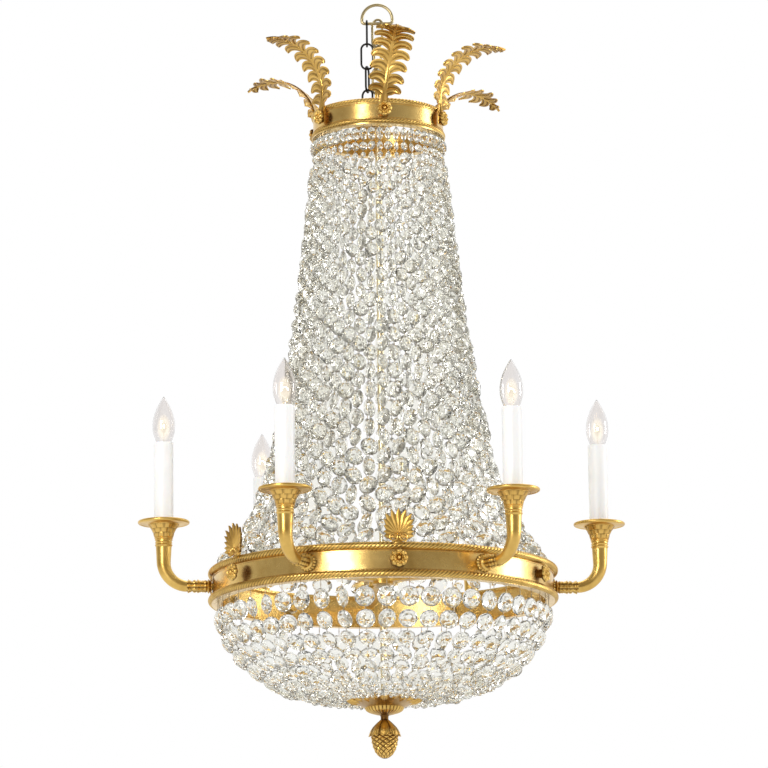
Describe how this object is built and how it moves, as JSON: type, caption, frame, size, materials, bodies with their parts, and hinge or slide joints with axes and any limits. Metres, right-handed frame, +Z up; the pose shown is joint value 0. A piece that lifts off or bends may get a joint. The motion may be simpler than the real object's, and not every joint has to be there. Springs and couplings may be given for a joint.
{
  "type": "crystal chandelier",
  "caption": "Ceiling chandelier: strands of faceted crystal beads form a flared tent over a shallow bowl, with leafy gilt candle arms, hung from short chains.",
  "frame": {"origin": "inside top of the hanger ring, the point that rests on a ceiling hook", "axes": "+Z up along the stem, -Y towards the viewer, +X to the right of the viewer"},
  "size_m": [0.6974, 0.6414, 1.1139],
  "materials": {
    "gilt": "satin gilt bronze with darker patina in the hollows",
    "chain_brass": "satin aged brass",
    "chain_black": "semi-gloss black",
    "steel": "plain turned metal",
    "crystal": "clear cut glass",
    "candle_white": "smooth ivory white",
    "lampholder_body": "moulded insulating body",
    "bulb_clear": "clear blown glass",
    "bulb_cap": "rolled screw cap"
  },
  "bodies": {
    "hanger": {"hanger_ring": "chain_brass"},
    "chain_1": {"brass_link_1": "chain_brass", "black_link_1": "chain_black"},
    "chain_2": {"brass_link_2": "chain_brass", "black_link_2": "chain_black"},
    "chain_3": {"brass_link_3": "chain_brass", "black_link_3": "chain_black"},
    "fixture": {"black_link_4": "chain_black", "top_loop": "gilt", "stem_pipe": "steel", "stem_nuts": "steel", "crown_band": "gilt", "crown_spider": "gilt", "crown_leaf_1": "gilt", "crown_leaf_2": "gilt", "crown_leaf_3": "gilt", "crown_leaf_4": "gilt", "crown_leaf_5": "gilt", "crown_leaf_6": "gilt", "crown_rosettes": "gilt", "rosette_nuts": "steel", "main_band": "gilt", "band_spider": "gilt", "band_rosettes": "gilt", "band_shells": "gilt", "arm_1": "gilt", "arm_2": "gilt", "arm_3": "gilt", "arm_4": "gilt", "arm_5": "gilt", "arm_6": "gilt", "arm_backplates": "gilt", "arm_nuts": "steel", "candle_cups": "gilt", "drip_pans": "gilt", "holder_posts": "steel", "lampholders": "lampholder_body", "candle_sleeves": "candle_white", "tent_strands_1": "crystal", "tent_strands_2": "crystal", "tent_strands_3": "crystal", "basket_strands_1": "crystal", "basket_strands_2": "crystal", "basket_strands_3": "crystal", "bottom_ring": "gilt", "bottom_dish": "gilt"},
    "bulb_1": {"bulb_base_1": "bulb_cap", "bulb_glass_1": "bulb_clear"},
    "bulb_2": {"bulb_base_2": "bulb_cap", "bulb_glass_2": "bulb_clear"},
    "bulb_3": {"bulb_base_3": "bulb_cap", "bulb_glass_3": "bulb_clear"},
    "bulb_4": {"bulb_base_4": "bulb_cap", "bulb_glass_4": "bulb_clear"},
    "bulb_5": {"bulb_base_5": "bulb_cap", "bulb_glass_5": "bulb_clear"},
    "bulb_6": {"bulb_base_6": "bulb_cap", "bulb_glass_6": "bulb_clear"},
    "finial": {"finial": "gilt"}
  },
  "joints": [
    {"name": "chain_swing_1", "type": "hinge", "parent": "hanger", "child": "chain_1", "pos_m": [0, 0, -0.02625], "axis": [1, 0, 0], "range_deg": [-20, 20]},
    {"name": "chain_swing_2", "type": "hinge", "parent": "chain_1", "child": "chain_2", "pos_m": [0, 0, -0.0594], "axis": [1, 0, 0], "range_deg": [-20, 20]},
    {"name": "chain_swing_3", "type": "hinge", "parent": "chain_2", "child": "chain_3", "pos_m": [0, 0, -0.0948], "axis": [1, 0, 0], "range_deg": [-20, 20]},
    {"name": "chain_swing_4", "type": "hinge", "parent": "chain_3", "child": "fixture", "pos_m": [0, 0, -0.1305], "axis": [1, 0, 0], "range_deg": [-20, 20]},
    {"name": "bulb_unscrew_1", "type": "hinge", "parent": "fixture", "child": "bulb_1", "pos_m": [0.17953, -0.25639, -0.67], "axis": [0, 0, 1], "range_deg": [0, 720]},
    {"name": "bulb_unscrew_2", "type": "hinge", "parent": "fixture", "child": "bulb_2", "pos_m": [0.31181, 0.02728, -0.67], "axis": [0, 0, 1], "range_deg": [0, 720]},
    {"name": "bulb_unscrew_3", "type": "hinge", "parent": "fixture", "child": "bulb_3", "pos_m": [0.13228, 0.28367, -0.67], "axis": [0, 0, 1], "range_deg": [0, 720]},
    {"name": "bulb_unscrew_4", "type": "hinge", "parent": "fixture", "child": "bulb_4", "pos_m": [-0.17953, 0.25639, -0.67], "axis": [0, 0, 1], "range_deg": [0, 720]},
    {"name": "bulb_unscrew_5", "type": "hinge", "parent": "fixture", "child": "bulb_5", "pos_m": [-0.31181, -0.02728, -0.67], "axis": [0, 0, 1], "range_deg": [0, 720]},
    {"name": "bulb_unscrew_6", "type": "hinge", "parent": "fixture", "child": "bulb_6", "pos_m": [-0.13228, -0.28367, -0.67], "axis": [0, 0, 1], "range_deg": [0, 720]},
    {"name": "finial_unscrew", "type": "hinge", "parent": "fixture", "child": "finial", "pos_m": [0, 0, -1.05], "axis": [0, 0, -1], "range_deg": [0, 1080]}
  ]
}
